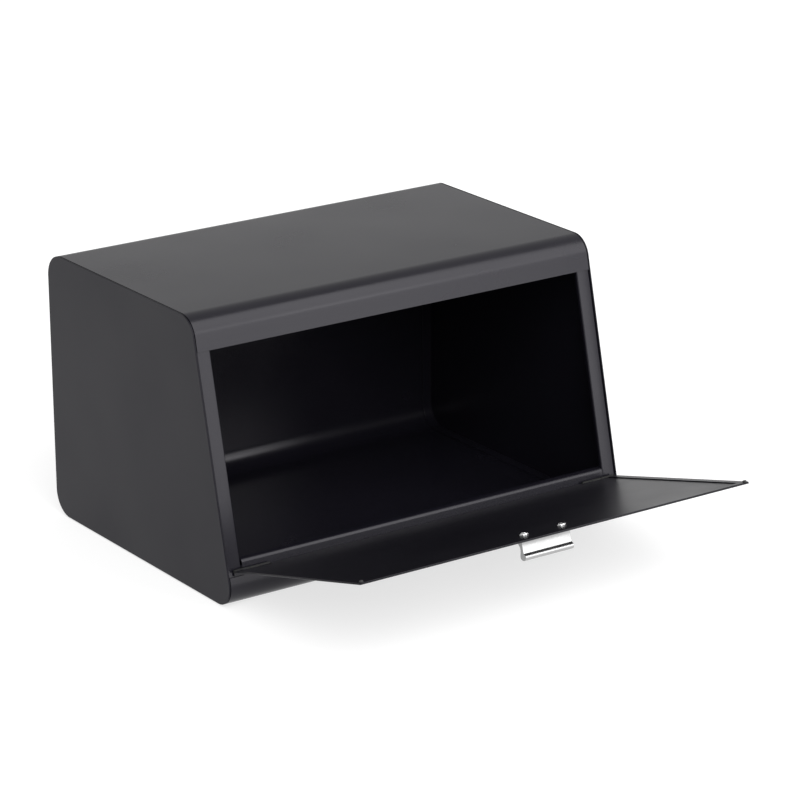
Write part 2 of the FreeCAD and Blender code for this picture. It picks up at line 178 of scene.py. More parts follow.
def softbox(name, spot, wide, high, watts):
    """A rectangular area light at the spot."""
    light = bpy.data.lights.new(name, "AREA")
    light.shape = "RECTANGLE"
    light.size, light.size_y = wide, high
    light.energy = watts
    return placed(light, spot)


key = bpy.data.lights.new("high_key", "SUN")
key.energy = 2.2
key.angle = math.radians(45)
placed(key, (-0.5, -1.3, 1.25))
softbox("front_softbox", (0.8, -1.85, 0.4), 1.4, 1.4, 15.5)
softbox("high_softbox", (0.96, -1.0, 1.45), 1.3, 1.6, 18.5)

world = bpy.data.worlds.new("white_studio")
world.use_nodes = True
room = world.node_tree.nodes["Background"].inputs
room["Color"].default_value = (1, 1, 1, 1)
room["Strength"].default_value = 0.63
bpy.context.scene.world = world
bpy.context.scene.view_settings.view_transform = "Standard"

FLOOR_HALF = 8
floor_mesh = bpy.data.meshes.new("studio_floor")
floor_corners = [(x * FLOOR_HALF, y * FLOOR_HALF, 0) for x, y in ((-1, -1), (1, -1), (1, 1), (-1, 1))]
floor_mesh.from_pydata(floor_corners, [], [(0, 1, 2, 3)])
floor = linked("studio_floor", floor_mesh)

# %% [markdown]
# ## Small helpers for node trees
#
# Geometry trees and shader groups are built the same way: add a node, set its properties, link its
# sockets. Two short functions keep the rest of the lesson readable.

# %% Node helpers
FINISH_OUTPUTS = [("Color", "NodeSocketColor"), ("Roughness", "NodeSocketFloat"),
                  ("Height", "NodeSocketFloat")]


def add(tree, kind, **settings):
    """Adds a node. Settings are node properties, or input values when they start with in_."""
    node = tree.nodes.new(kind)
    for name, value in settings.items():
        if name.startswith("in_"):
            key = name[3:]
            node.inputs[int(key) if key.isdigit() else key.replace("_", " ")].default_value = value
        else:
            setattr(node, name, value)
    return node


def wire(tree, *pairs):
    """Links (node, output) to (node, input) for each pair."""
    for (a, out), (b, into) in pairs:
        tree.links.new(a.outputs[out], b.inputs[into])


def group(name, kind, inputs=(), outputs=()):
    """A node group with named sockets; returns it with its input and output nodes."""
    tree = bpy.data.node_groups.new(name, kind)
    for label, socket, value in inputs:
        made = tree.interface.new_socket(name=label, in_out="INPUT", socket_type=socket)
        if value is not None:
            made.default_value = value
    for label, socket in outputs:
        tree.interface.new_socket(name=label, in_out="OUTPUT", socket_type=socket)
    return tree, tree.nodes.new("NodeGroupInput"), tree.nodes.new("NodeGroupOutput")


print("helpers ready")

# %% [markdown]
# ## Finish 1: the powder coat's texture
#
# Powder coat is sprayed as a dry powder and baked until it flows. It keeps a fine orange-peel
# surface, with tiny grains on top, and its gloss wanders a little from place to place. One shader
# group makes all three from noise in object coordinates: a height for the bump, a mask for the
# gloss, and a gently mottled colour. Each paint then uses it with its own grain size and colour.

# %% Shader group: powder grain
def make_powder_group():
    tree, start, end = group(
        "powder_grain", "ShaderNodeTree",
        inputs=[("Color", "NodeSocketColor", (0.05, 0.05, 0.055, 1)),
                ("Grain mm", "NodeSocketFloat", 0.45),
                ("Gloss", "NodeSocketFloat", 0.5), ("Gloss spread", "NodeSocketFloat", 0.06)],
        outputs=FINISH_OUTPUTS)
    place = add(tree, "ShaderNodeTexCoord")
    scale = add(tree, "ShaderNodeMath", operation="DIVIDE", in_0=1000.0)
    peel = add(tree, "ShaderNodeTexNoise", in_Detail=2.0, in_Roughness=0.5)
    finer = add(tree, "ShaderNodeMath", operation="MULTIPLY", in_1=2.7)
    grains = add(tree, "ShaderNodeTexVoronoi", feature="SMOOTH_F1", in_Smoothness=0.6)
    cloud = add(tree, "ShaderNodeTexNoise", in_Scale=14.0, in_Detail=3.0)
    relief = add(tree, "ShaderNodeMath", operation="MULTIPLY_ADD", in_1=0.35)
    gloss = add(tree, "ShaderNodeMapRange", in_1=0.3, in_2=0.7)
    low = add(tree, "ShaderNodeMath", operation="SUBTRACT")
    high = add(tree, "ShaderNodeMath", operation="ADD")
    tone = add(tree, "ShaderNodeMapRange", in_1=0.3, in_2=0.7, in_3=0.94, in_4=1.06)
    speck = add(tree, "ShaderNodeMapRange", in_1=0.25, in_2=0.75, in_3=0.95, in_4=1.05)
    both = add(tree, "ShaderNodeMath", operation="MULTIPLY")
    paint = add(tree, "ShaderNodeVectorMath", operation="SCALE")
    wire(tree,
         ((start, "Grain mm"), (scale, 1)), ((scale, 0), (peel, "Scale")),
         ((scale, 0), (finer, 0)), ((finer, 0), (grains, "Scale")),
         ((place, "Object"), (peel, "Vector")), ((place, "Object"), (grains, "Vector")),
         ((place, "Object"), (cloud, "Vector")),
         ((grains, "Distance"), (relief, 0)), ((peel, "Fac"), (relief, 2)),
         ((relief, 0), (end, "Height")),
         ((cloud, "Fac"), (gloss, 0)), ((start, "Gloss"), (low, 0)), ((start, "Gloss spread"), (low, 1)),
         ((start, "Gloss"), (high, 0)), ((start, "Gloss spread"), (high, 1)),
         ((low, 0), (gloss, 3)), ((high, 0), (gloss, 4)), ((gloss, 0), (end, "Roughness")),
         ((cloud, "Fac"), (tone, 0)), ((peel, "Fac"), (speck, 0)),
         ((tone, 0), (both, 0)), ((speck, 0), (both, 1)),
         ((start, "Color"), (paint, 0)), ((both, 0), (paint, "Scale")), ((paint, 0), (end, "Color")))
    return tree


powder_grain = make_powder_group()
print("group:", powder_grain.name)

# %% [markdown]
# ## Finish 2: lines in worked metal
#
# An extruded or drawn piece has fine lines along the way it was pulled, because the die scratches
# it. The group stretches a noise along one axis, so the lines run along the piece, and puts out a
# height, a gloss mask and a slight change of tone.

# %% Shader group: drawn lines
def make_line_group():
    tree, start, end = group(
        "drawn_lines", "ShaderNodeTree",
        inputs=[("Stretch", "NodeSocketVector", (0.03, 1.0, 1.0)), ("Lines per mm", "NodeSocketFloat", 6.0),
                ("Gloss", "NodeSocketFloat", 0.3), ("Gloss spread", "NodeSocketFloat", 0.08),
                ("Color", "NodeSocketColor", (0.8, 0.8, 0.8, 1))],
        outputs=FINISH_OUTPUTS)
    place = add(tree, "ShaderNodeTexCoord")
    pull = add(tree, "ShaderNodeVectorMath", operation="MULTIPLY")
    scale = add(tree, "ShaderNodeMath", operation="MULTIPLY", in_1=1000.0)
    lines = add(tree, "ShaderNodeTexNoise", in_Detail=4.0, in_Roughness=0.7)
    cloud = add(tree, "ShaderNodeTexNoise", in_Scale=120.0, in_Detail=2.0)
    low = add(tree, "ShaderNodeMath", operation="SUBTRACT")
    high = add(tree, "ShaderNodeMath", operation="ADD")
    mix = add(tree, "ShaderNodeMath", operation="MULTIPLY_ADD", in_1=0.6)
    half = add(tree, "ShaderNodeMath", operation="MULTIPLY", in_1=0.4)
    gloss = add(tree, "ShaderNodeMapRange", in_1=0.35, in_2=0.65)
    tone = add(tree, "ShaderNodeMapRange", in_1=0.3, in_2=0.7, in_3=0.9, in_4=1.04)
    paint = add(tree, "ShaderNodeVectorMath", operation="SCALE")
    wire(tree,
         ((place, "Object"), (pull, 0)), ((start, "Stretch"), (pull, 1)), ((pull, 0), (lines, "Vector")),
         ((start, "Lines per mm"), (scale, 0)), ((scale, 0), (lines, "Scale")),
         ((place, "Object"), (cloud, "Vector")),
         ((lines, "Fac"), (end, "Height")),
         ((cloud, "Fac"), (half, 0)), ((lines, "Fac"), (mix, 0)), ((half, 0), (mix, 2)),
         ((mix, 0), (gloss, 0)), ((start, "Gloss"), (low, 0)), ((start, "Gloss spread"), (low, 1)),
         ((start, "Gloss"), (high, 0)), ((start, "Gloss spread"), (high, 1)),
         ((low, 0), (gloss, 3)), ((high, 0), (gloss, 4)), ((gloss, 0), (end, "Roughness")),
         ((lines, "Fac"), (tone, 0)), ((start, "Color"), (paint, 0)), ((tone, 0), (paint, "Scale")),
         ((paint, 0), (end, "Color")))
    return tree


drawn_lines = make_line_group()
print("group:", drawn_lines.name)

# %% [markdown]
# ## Materials
#
# Each material is one Principled BSDF fed by one of the groups. Its group gives the colour, the
# roughness and the height; what is the same all over, such as metal or specular level, is set on
# the shader itself.

# %% Material builder
def surface(name, effect, values, bump, metallic=0.0, **constants):
    """A Principled material whose colour, roughness and bump come from an effect group."""
    material = bpy.data.materials.new(name)
    material.use_nodes = True
    tree = material.node_tree
    shader = tree.nodes["Principled BSDF"]
    shader.inputs["Metallic"].default_value = metallic
    for label, value in constants.items():
        shader.inputs[label.replace("_", " ")].default_value = value
    source = add(tree, "ShaderNodeGroup", node_tree=effect)
    for label, value in values.items():
        source.inputs[label].default_value = value
    relief = add(tree, "ShaderNodeBump", in_Strength=1.0, in_Distance=bump)
    wire(tree,
         ((source, "Color"), (shader, "Base Color")), ((source, "Roughness"), (shader, "Roughness")),
         ((source, "Height"), (relief, "Height")), ((relief, "Normal"), (shader, "Normal")))
    return material


# %% Paints and metals
def grey(value):
    return (value, value, value, 1.0)


VIOLET_BLACK = (0.0062, 0.0058, 0.0088, 1.0)
# Painted shade: the flap's colour is the shell's violet black made darker, standing for the shade the open
# flap lies in.
SHADED_VIOLET_BLACK = (0.0036, 0.0033, 0.0055, 1.0)
COOL = (0.97, 0.95, 1.0, 1.0)

coat_shell = surface("shell_paint", powder_grain,
                     {"Color": VIOLET_BLACK, "Grain mm": 0.45, "Gloss": 0.25, "Gloss spread": 0.03},
                     bump=0.004 * MM, Specular_IOR_Level=0.31, Specular_Tint=COOL)
# Painted shade: the end panels take the shell's paint with its reflection turned down, so the sides read
# darker than the top.
coat_side_shaded = surface("side_paint", powder_grain,
                    {"Color": VIOLET_BLACK, "Grain mm": 0.45, "Gloss": 0.37, "Gloss spread": 0.04},
                    bump=0.006 * MM, Specular_IOR_Level=0.16, Specular_Tint=COOL)
# Painted shade: the flap takes a darker copy of the shell paint.
coat_flap_shaded = surface("flap_paint", powder_grain,
                    {"Color": SHADED_VIOLET_BLACK, "Grain mm": 0.6, "Gloss": 0.36, "Gloss spread": 0.03},
                    bump=0.003 * MM, Specular_IOR_Level=0.3, Specular_Tint=COOL)
hinge_black = surface("blackened_steel", drawn_lines,
                      {"Color": grey(0.012), "Gloss": 0.65, "Lines per mm": 4.0}, bump=0.004 * MM,
                      Specular_IOR_Level=0.2)
aluminium = surface("satin_aluminium", drawn_lines,
                    {"Color": grey(0.41), "Gloss": 0.3, "Gloss spread": 0.07, "Lines per mm": 5.0},
                    bump=0.004 * MM, metallic=1.0)
chrome = surface("bright_screw", drawn_lines,
                 {"Color": grey(0.82), "Stretch": (1, 1, 1), "Gloss": 0.12, "Gloss spread": 0.03,
                  "Lines per mm": 1.5}, bump=0.002 * MM, metallic=1.0)
rubber = surface("matt_rubber", powder_grain,
                 {"Color": grey(0.02), "Grain mm": 0.3, "Gloss": 0.75, "Gloss spread": 0.05},
                 bump=0.01 * MM)
white = bpy.data.materials.new("studio_white")
white.use_nodes = True
plain = white.node_tree.nodes["Principled BSDF"].inputs
plain["Base Color"].default_value = grey(0.34)
plain["Emission Color"].default_value = grey(1.0)
plain["Emission Strength"].default_value = 0.7
plain["Roughness"].default_value = 0.9
floor.data.materials.append(white)
print("materials:", len(bpy.data.materials))

# %% [markdown]
# ## From a bent line to a bent sheet
#
# Every long part here is folded from flat sheet or sawn from a drawn bar, so its section never
# changes along its length. A Geometry Nodes tree says that rule: it takes a closed outline with a
# bend radius stored on each corner, rounds the corners, fills the outline, pulls it out to a
# length, and lays it along the world's X axis. The outline is drawn in the ground plane, because
# a filled curve has to lie there.

# %% Geometry tree: folded section
SAME_POINT = 2e-6


def make_section_tree():
    tree, start, end = group(
        "folded_section", "GeometryNodeTree",
        inputs=[("Outline", "NodeSocketGeometry", None), ("Length", "NodeSocketFloat", 0.1),
                ("Start X", "NodeSocketFloat", 0.0), ("Bend steps", "NodeSocketInt", 12),
                ("Finish", "NodeSocketMaterial", None)],
        outputs=[("Geometry", "NodeSocketGeometry")])
    curve = add(tree, "GeometryNodeMeshToCurve")
    bend = add(tree, "GeometryNodeInputNamedAttribute", data_type="FLOAT", in_Name="bend")
    round_off = add(tree, "GeometryNodeFilletCurve", mode="POLY")
    fill = add(tree, "GeometryNodeFillCurve", mode="NGONS")
    tidy = add(tree, "GeometryNodeMergeByDistance", in_Distance=SAME_POINT)
    along = add(tree, "ShaderNodeCombineXYZ")
    pull = add(tree, "GeometryNodeExtrudeMesh", mode="FACES")
    pull.inputs["Individual"].default_value = False
    back = add(tree, "GeometryNodeFlipFaces")
    both = add(tree, "GeometryNodeJoinGeometry")
    weld = add(tree, "GeometryNodeMergeByDistance", in_Distance=SAME_POINT)
    lay = add(tree, "GeometryNodeTransform", in_Rotation=(math.pi / 2, 0, math.pi / 2))
    shift = add(tree, "ShaderNodeCombineXYZ")
    real = add(tree, "GeometryNodeRealizeInstances")
    paint = add(tree, "GeometryNodeSetMaterial")
    wire(tree,
         ((start, "Outline"), (curve, 0)), ((curve, 0), (round_off, 0)),
         ((bend, 0), (round_off, "Radius")), ((start, "Bend steps"), (round_off, "Count")),
         ((round_off, 0), (fill, 0)), ((fill, 0), (tidy, 0)),
         ((start, "Length"), (along, "Z")), ((tidy, 0), (pull, 0)), ((along, 0), (pull, "Offset")),
         ((tidy, 0), (back, 0)), ((pull, 0), (both, 0)), ((back, 0), (both, 0)), ((both, 0), (weld, 0)),
         ((weld, 0), (lay, 0)), ((start, "Start X"), (shift, "X")), ((shift, 0), (lay, "Translation")),
         ((lay, 0), (real, 0)), ((real, 0), (paint, 0)), ((start, "Finish"), (paint, "Material")),
         ((paint, 0), (end, 0)))
    return tree


section_tree = make_section_tree()
print("tree:", section_tree.name)

# %% [markdown]
# A modifier's values are set through each socket's identifier. The result is taken as a plain
# mesh, its normals are pointed outwards, and edges sharper than 30 degrees stay crisp.

# %% Running a geometry tree
def run_tree(name, mesh, tree, values):
    """Runs a geometry tree on a mesh and returns the result as a plain object."""
    source = linked(name, mesh)
    modifier = source.modifiers.new("shape", "NODES")
    modifier.node_group = tree
    for item in tree.interface.items_tree:
        if item.name in values:
            modifier[item.identifier] = values[item.name]
    graph = bpy.context.evaluated_depsgraph_get()
    made = bpy.data.meshes.new_from_object(source.evaluated_get(graph))
    source.modifiers.clear()
    source.data = made
    made.name = name
    made.materials.clear()
    made.materials.append(values["Finish"])
    made.polygons.foreach_set("material_index", [0] * len(made.polygons))
    bpy.data.meshes.remove(mesh)
    return source


def point_outwards(obj):
    """Merges doubles and turns every face outwards."""
    shape = bmesh.new()
    shape.from_mesh(obj.data)
    bmesh.ops.remove_doubles(shape, verts=shape.verts, dist=1e-6)
    bmesh.ops.recalc_face_normals(shape, faces=shape.faces)
    shape.to_mesh(obj.data)
    shape.free()


def crisp(obj, angle=30):
    """Smooth faces, with sharp edges past the angle."""
    for face in obj.data.polygons:
        face.use_smooth = True
    obj.data.set_sharp_from_angle(angle=math.radians(angle))


def soften(obj, width, steps=2, angle=30):
    """Rounds the edges a little with a bevel, as deburring and paint do."""
    bevel = obj.modifiers.new("edge", "BEVEL")
    bevel.width = width
    bevel.segments = steps
    bevel.limit_method = "ANGLE"
    bevel.angle_limit = math.radians(angle)
    bevel.use_clamp_overlap = True


print("ready to fold")

# %% Outlines of sheet
def line_mesh(name, points, bends):
    """A closed line in the ground plane, with a bend radius on each corner."""
    count = len(points)
    mesh = bpy.data.meshes.new(name)
    mesh.from_pydata([(y, z, 0) for y, z in points], [(i, (i + 1) % count) for i in range(count)], [])
    radii = mesh.attributes.new("bend", "FLOAT", "POINT")
    radii.data.foreach_set("value", bends)
    return mesh


def unit(a, b):
    """The direction from a to b, one long."""
    d = (b[0] - a[0], b[1] - a[1])
    n = math.hypot(*d)
    return (d[0] / n, d[1] / n)


def shifted(points, t):
    """The line moved to its left by t, with sharp corners kept."""
    left = []
    for a, b in zip(points, points[1:]):
        d = unit(a, b)
        left.append((-d[1], d[0]))
    out = [(points[0][0] + left[0][0] * t, points[0][1] + left[0][1] * t)]
    for i in range(1, len(points) - 1):
        a, b = left[i - 1], left[i]
        k = t / (1 + a[0] * b[0] + a[1] * b[1])
        out.append((points[i][0] + (a[0] + b[0]) * k, points[i][1] + (a[1] + b[1]) * k))
    out.append((points[-1][0] + left[-1][0] * t, points[-1][1] + left[-1][1] * t))
    return out


def sheet_outline(path, bends, thickness):
    """The closed outline of a sheet: its outer line, then its inner line back again."""
    inner = shifted(path, thickness)
    inside = [r - thickness for r in bends]
    return path + inner[::-1], [0.0] + bends + [0.0] + [0.0] + inside[::-1] + [0.0]


def folded(name, points, bends, x0, x1, material, steps=12):
    """A folded piece from x0 to x1 with the given section."""
    mesh = line_mesh(name, points, bends)
    obj = run_tree(name, mesh, section_tree,
                   {"Length": x1 - x0, "Start X": x0, "Bend steps": steps, "Finish": material})
    point_outwards(obj)
    return obj


print("outline tools ready")

# %% [markdown]
# ## The wrapper
#
# The wrapper is one sheet. From its inner lip it rolls over the sill, goes down the front strip,
# under the box, up the back, over the top, and ends as the apron above the mouth. Its path is
# walked in that order, with a bend radius at each fold. The sheet stops short of the end panels by
# a narrow open groove, and its strip steps in at both ends, where the stiles stand.

# %% Wrapper outline
BOX_BENDS = [15 * MM, 18 * MM, 18 * MM, 17 * MM]
APRON_END = SLOPE - 24.4 * MM
SILL_RISE = 34.6 * MM
SILL_DEPTH = 6.6 * MM
SILL_LIP = 7.0 * MM
SILL_BENDS = [1.3 * MM, 3.0 * MM]


def box_corners(inset=0.0):
    """Sharp corners of the box from bottom front to top front, moved in by the inset."""
    top = BOTTOM + HEIGHT
    ring = [front(SLOPE), front(0), (BACK, BOTTOM), (BACK, top), front(SLOPE), front(0)]
    return shifted(ring, inset)[1:5]


sill = front(SILL_RISE)
wrapper_path = [(sill[0] + SILL_DEPTH, sill[1] - SILL_LIP), (sill[0] + SILL_DEPTH, sill[1]), sill]
wrapper_path += box_corners() + [front(APRON_END)]
outline, radii = sheet_outline(wrapper_path, SILL_BENDS + BOX_BENDS, SHEET)
wrapper = folded("shell_sheet", outline, radii, -SHELL_HALF, SHELL_HALF, coat_shell, steps=16)
print("wrapper faces:", len(wrapper.data.polygons))

# %% [markdown]
# The notches at the strip's ends and the two slots for the hinge eyes are cut with boxes, after
# which the cutters go.

# %% Blocks, for cutting and for flat parts
def block(name, verts):
    """A closed block from its two end outlines, listed one after the other."""
    count = len(verts) // 2
    first, second = tuple(range(count)), tuple(range(count, 2 * count))
    sides = [(i, (i + 1) % count, count + (i + 1) % count, count + i) for i in range(count)]
    mesh = bpy.data.meshes.new(name)
    mesh.from_pydata(verts, [], [first[::-1], second] + sides)
    obj = linked(name, mesh)
    point_outwards(obj)
    return obj


def slope_block(name, s0, s1, w0, w1, x0, x1):
    """A box that stands square on the slope, from x0 to x1."""
    corners = (front(s0, w0), front(s1, w0), front(s1, w1), front(s0, w1))
    return block(name, [(x, *corner) for x in (x0, x1) for corner in corners])


def cut(obj, cutters):
    """Cuts the blocks out of the object and removes them."""
    for cutter in cutters:
        for material in obj.data.materials:
            cutter.data.materials.append(material)
        modifier = obj.modifiers.new("cut", "BOOLEAN")
        modifier.operation = "DIFFERENCE"
        modifier.solver = "EXACT"
        modifier.object = cutter
    graph = bpy.context.evaluated_depsgraph_get()
    made = bpy.data.meshes.new_from_object(obj.evaluated_get(graph))
    obj.modifiers.clear()
    old = obj.data
    obj.data = made
    made.name = obj.name
    bpy.data.meshes.remove(old)
    for cutter in cutters:
        bpy.data.objects.remove(cutter)


print("blocks ready")

# %% Cutting notches and slots
eye_low, eye_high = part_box("hinge_bracket_right")
SHOULDER = SILL_RISE - 11.2 * MM
STILE_WIDTH = 12.3 * MM
SILL_END_GAP = 0.5 * MM
SILL_HALF = HALF_WIDTH - STILE_WIDTH - SILL_END_GAP
EYE_GAP = 0.3 * MM
SLOT_HALF = 0.8 * MM
blocks = []
for side in (-1, 1):
    x0, x1 = sorted((side * SILL_HALF, side * (SHELL_HALF + 1 * MM)))
    blocks.append(slope_block("notch", SHOULDER, SILL_RISE + 3 * MM, -SILL_DEPTH - 4 * MM, MM, x0, x1))
    x0, x1 = sorted((side * (eye_low[0] - EYE_GAP), side * (eye_high[0] + EYE_GAP)))
    blocks.append(slope_block("slot", HINGE_RISE - SLOT_HALF, HINGE_RISE + SLOT_HALF, -2 * MM, MM, x0, x1))
cut(wrapper, blocks)
soften(wrapper, 0.08 * MM)
crisp(wrapper)
print("wrapper after cutting:", len(wrapper.data.polygons), "faces")

# %% [markdown]
# ## End panels
#
# Each end is a flat panel with rounded corners and a rolled-over outer edge that catches a thin
# line of light. Inside, a folded rim runs round it, and the wrapper is welded to that rim. The rim
# stops behind the front, where the stiles begin.

# %% End panels
RIM = 8.0 * MM
RIM_GAP = 0.05 * MM
ROLLED_EDGE = 0.35 * MM
BEND_CLEAR = 0.3 * MM
low_straight = BOX_BENDS[0] / math.tan((math.pi / 2 - FRONT_LEAN) / 2) + BEND_CLEAR
high_straight = SLOPE - BOX_BENDS[3] / math.tan((math.pi / 2 + FRONT_LEAN) / 2) - BEND_CLEAR


def joined(name, objects):
    """Joins objects into the first one and names it."""
    whole = bmesh.new()
    slots = []
    for obj in objects:
        for material in obj.data.materials:
            if material not in slots:
                slots.append(material)
    for obj in objects:
        part = obj.data
        turn = [slots.index(m) for m in part.materials] or [0]
        for face in part.polygons:
            face.material_index = turn[face.material_index]
        whole.from_mesh(part)
    mesh = bpy.data.meshes.new(name)
    whole.to_mesh(mesh)
    whole.free()
    for material in slots:
        mesh.materials.append(material)
    for obj in objects:
        bpy.data.objects.remove(obj)
    return linked(name, mesh)


def end_panel(name, side):
    """A flat end with its folded inner rim welded on."""
    plate_x = sorted((side * (HALF_WIDTH - SIDE_SHEET), side * HALF_WIDTH))
    rim_x = sorted((side * (HALF_WIDTH - SIDE_SHEET - RIM), side * (HALF_WIDTH - SIDE_SHEET)))
    plate = folded(name + "_plate", box_corners(), BOX_BENDS, *plate_x, coat_side_shaded, steps=24)
    inset = SHEET + RIM_GAP
    path = [front(low_straight, -inset)] + box_corners(inset) + [front(high_straight, -inset)]
    points, bends = sheet_outline(path, [r - inset for r in BOX_BENDS], SHEET)
    rim = folded(name + "_rim", points, bends, *rim_x, coat_side_shaded, steps=10)
    panel = joined(name, [plate, rim])
    soften(panel, ROLLED_EDGE, steps=3)
    crisp(panel)
    return panel


panels = {side: end_panel(f"end_panel_{label}", side) for label, side in (("left", -1), ("right", 1))}
print("end panels:", [p.name for p in panels.values()])

# %% [markdown]
# ## Stiles
#
# A stile is a small folded channel that stands at each side of the mouth. Its section lies across
# the slope, so it is drawn flat as (x, w) and then set up along the front.

# %% Stiles
OPENING_HALF = HALF_WIDTH - STILE_WIDTH
STILE_FACE = -SHEET - 0.2 * MM
STILE_RETURN, STILE_LEG = 3.0 * MM, 8.0 * MM
STILE_BEND, STILE_INNER_BEND = 1.1 * MM, 0.3 * MM
STILE_CLEAR = 0.5 * MM
SIDE_INNER = HALF_WIDTH - SIDE_SHEET


def stile(name, side):
    """A folded channel: inner return, face, and a leg on the end panel."""
    path = [(OPENING_HALF, -STILE_RETURN), (OPENING_HALF, 0), (SIDE_INNER, 0), (SIDE_INNER, -STILE_LEG)]
    points, bends = sheet_outline(path, [STILE_BEND] * 2, -SHEET)
    bends[-3:-1] = [STILE_INNER_BEND] * 2
    s0, s1 = low_straight + STILE_CLEAR, high_straight - STILE_CLEAR
    obj = folded(name, points, bends, 0, s1 - s0, coat_shell, steps=6)
    for vert in obj.data.vertices:
        along, x, w = vert.co
        y, z = front(s0 + along, STILE_FACE + w)
        vert.co = (side * x, y, z)
    point_outwards(obj)
    soften(obj, 0.12 * MM)
    crisp(obj)
    return obj


stiles = {side: stile(f"mouth_stile_{label}", side) for label, side in (("left", -1), ("right", 1))}
print("stiles:", [s.name for s in stiles.values()])

# %% [markdown]
# ## The flap
#
# The flap is thinner sheet. Both sides and the free edge are folded back on themselves into hems,
# which hide the raw edge and stiffen the sheet, and the hinge edge has a short flange that meets
# the front as a stop. The hems are mitred at the free corners. It is drawn shut and turned open.

# %% Flap pieces drawn shut
FLAP_HALF = HALF_WIDTH - 5.0 * MM
FLAP_TOP = APRON_END + 6.75 * MM
HEM = 6.3 * MM
HEM_GAP = 0.06 * MM
HEEL = HINGE_RISE - (HINGE_OUT - 0.15 * MM)
NOTCH = 2.3 * MM


def slab(name, corners, w0, w1, material):
    """A flat block on the slope with the (x, s) outline, between two heights."""
    obj = block(name, [(x, *front(s, w)) for w in (w0, w1) for x, s in corners])
    obj.data.materials.append(material)
    return obj


def opened(obj):
    """Turns a piece drawn on the shut flap to the open pose, in its mesh."""
    obj.data.transform(OPENING)
    obj.data.update()
    return obj


def rounded_corners(half, s_top, radius, steps=6):
    """(x, s) points of the free edge's two rounded corners, right to left."""
    points = []
    for side, start in ((1, 0.0), (-1, math.pi / 2)):
        for i in range(steps + 1):
            a = start + i / steps * math.pi / 2
            x = side * (half - radius) + radius * math.cos(a)
            points.append((x, s_top - radius + radius * math.sin(a)))
    return points


CORNER = 1.5 * MM
FLANGE_OUT = 3.8 * MM
inner_face, outer_face = HINGE_OUT, HINGE_OUT + FLAP_SHEET
EDGE_ROUND = 0.08 * MM
outline = [(-FLAP_HALF, HEEL), (FLAP_HALF, HEEL)]
outline += rounded_corners(FLAP_HALF, FLAP_TOP - EDGE_ROUND, CORNER)
skin = slab("flap_skin", outline, inner_face, outer_face, coat_flap_shaded)
flange = slope_block("heel_flange", HEEL, HEEL + FLAP_SHEET, outer_face, HINGE_OUT + FLANGE_OUT,
                     -FLAP_HALF, FLAP_HALF)
flange.data.materials.append(coat_flap_shaded)
print("flap skin:", round(2000 * FLAP_HALF), "mm wide")

# %% Hems
hem_start = HINGE_RISE + NOTCH
hem_bottom, hem_top = inner_face - FLAP_SHEET, inner_face - HEM_GAP
MITRE = 0.05 * MM
SNIP = 0.42 * CORNER
hems = []
for side in (-1, 1):
    strip = [(side * (FLAP_HALF - HEM), hem_start), (side * FLAP_HALF, hem_start),
             (side * FLAP_HALF, FLAP_TOP - CORNER), (side * (FLAP_HALF - SNIP), FLAP_TOP - SNIP),
             (side * (FLAP_HALF - HEM), FLAP_TOP - HEM - MITRE)]
    hems.append(slab("side_hem", strip, hem_bottom, hem_top, coat_flap_shaded))
half_cross = [(FLAP_HALF - HEM - MITRE, FLAP_TOP - HEM),
              (FLAP_HALF - 0.5 * CORNER, FLAP_TOP - 0.3 * CORNER),
              (FLAP_HALF - CORNER, FLAP_TOP)]
cross = half_cross + [(-x, s) for x, s in half_cross[::-1]]
hems.append(slab("free_hem", cross, hem_bottom, hem_top, coat_flap_shaded))
print("hems:", len(hems))

# %% [markdown]
# Where a hinge eye sits, the flap is notched, so that barrel and eye can share one pin.

# %% Round bars on the hinge axis
def from_shape(name, shape):
    """The finished shape as an object, its faces turned outwards."""
    bmesh.ops.recalc_face_normals(shape, faces=shape.faces)
    mesh = bpy.data.meshes.new(name)
    shape.to_mesh(mesh)
    shape.free()
    return linked(name, mesh)


def circle(steps):
    """(cosine, sine) of evenly spaced angles."""
    angles = [2 * math.pi * i / steps for i in range(steps)]
    return [(math.cos(a), math.sin(a)) for a in angles]


def tube(name, x0, x1, outer, inner, material, steps=48):
    """A hollow round bar along X on the hinge axis; with inner 0 it is solid."""
    shape = bmesh.new()
    profile = [(x0, outer), (x1, outer)]
    if inner:
        profile += [(x1, inner), (x0, inner)]
    rings = []
    for x, r in profile:
        spots = [(x, HINGE_AT.y + r * c, HINGE_AT.z + r * s) for c, s in circle(steps)]
        rings.append([shape.verts.new(spot) for spot in spots])
    around = rings + rings[:1] if inner else rings
    for a, b in zip(around, around[1:]):
        for i in range(steps):
            j = (i + 1) % steps
            shape.faces.new((a[i], a[j], b[j], b[i]))
    if not inner:
        shape.faces.new(rings[0][::-1])
        shape.faces.new(rings[1])
    obj = from_shape(name, shape)
    obj.data.materials.append(material)
    return obj


print("hinge axis at", round(HINGE_AT.y, 4), round(HINGE_AT.z, 4))

# %% Notches and barrels
BARREL_R = 1.3 * MM
BORE_R = 0.8 * MM
PIN_R = 0.75 * MM
BARREL_LENGTH = 7.7 * MM
RING_ROOM = 1.2 * MM
NOTCH_OUT = 4.8 * MM
eye_start, eye_end = eye_high[0], eye_low[0]
inner_start = eye_end - EYE_GAP
inner_end = inner_start - BARREL_LENGTH


def notches():
    """Four blocks: round each eye, and round each push-on ring."""
    blocks = []
    for side in (-1, 1):
        for a, b in ((eye_start + EYE_GAP, inner_start), (inner_end, inner_end - RING_ROOM)):
            x0, x1 = sorted((side * a, side * b))
            blocks.append(slope_block("notch", HEEL - MM, HINGE_RISE + NOTCH, inner_face - NOTCH,
                                      inner_face + NOTCH_OUT, x0, x1))
    return blocks


